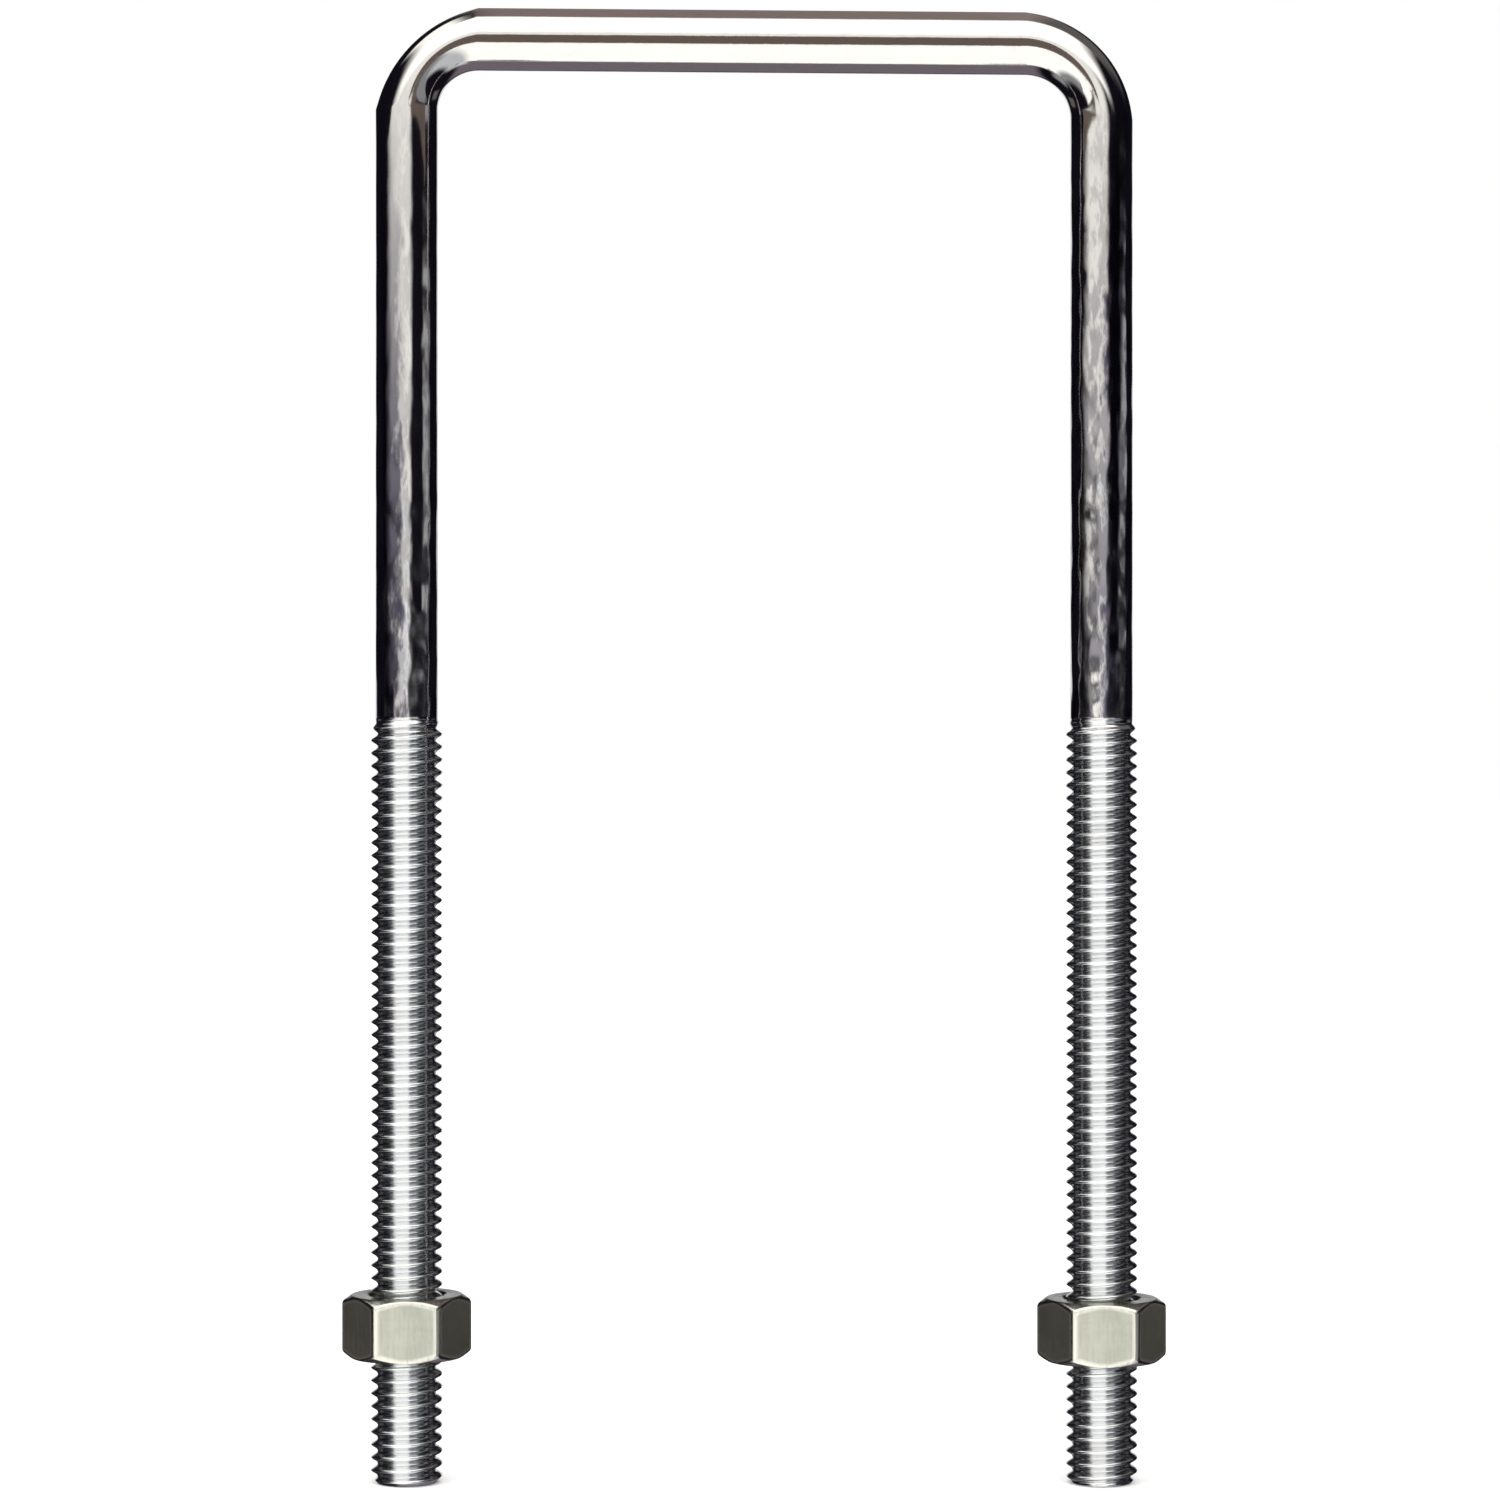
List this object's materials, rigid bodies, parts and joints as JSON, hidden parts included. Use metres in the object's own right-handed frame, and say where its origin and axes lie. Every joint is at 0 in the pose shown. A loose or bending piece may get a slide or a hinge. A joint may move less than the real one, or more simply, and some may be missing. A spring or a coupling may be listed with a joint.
{
  "type": "u-bolt",
  "caption": "Square-bend zinc-plated U-bolt with threaded legs and a hex nut on each leg, which clamps a beam, post or pipe against a plate.",
  "frame": {"origin": "midway between the two legs' axes, in the plane of the legs' cut ends", "axes": "+Z along the legs towards the crossbar, +X from the left leg to the right leg, +Y square to the plane of the U, away from the viewer"},
  "size_m": [0.0908, 0.013, 0.1627],
  "materials": {
    "rod_zinc": "bright zinc plating, smooth on the bent wire and rolled thread",
    "nut_zinc": "satin zinc plating with a slight olive warmth"
  },
  "bodies": {
    "rod": {"bent_rod": "rod_zinc"},
    "left_nut": {"left_nut": "nut_zinc"},
    "right_nut": {"right_nut": "nut_zinc"}
  },
  "joints": [
    {"name": "left_nut_travel", "type": "slide", "parent": "rod", "child": "left_nut", "axis": [0, 0, 1], "range_m": [-0.0127, 0.06068]},
    {"name": "right_nut_travel", "type": "slide", "parent": "rod", "child": "right_nut", "axis": [0, 0, 1], "range_m": [-0.0127, 0.06068]}
  ]
}
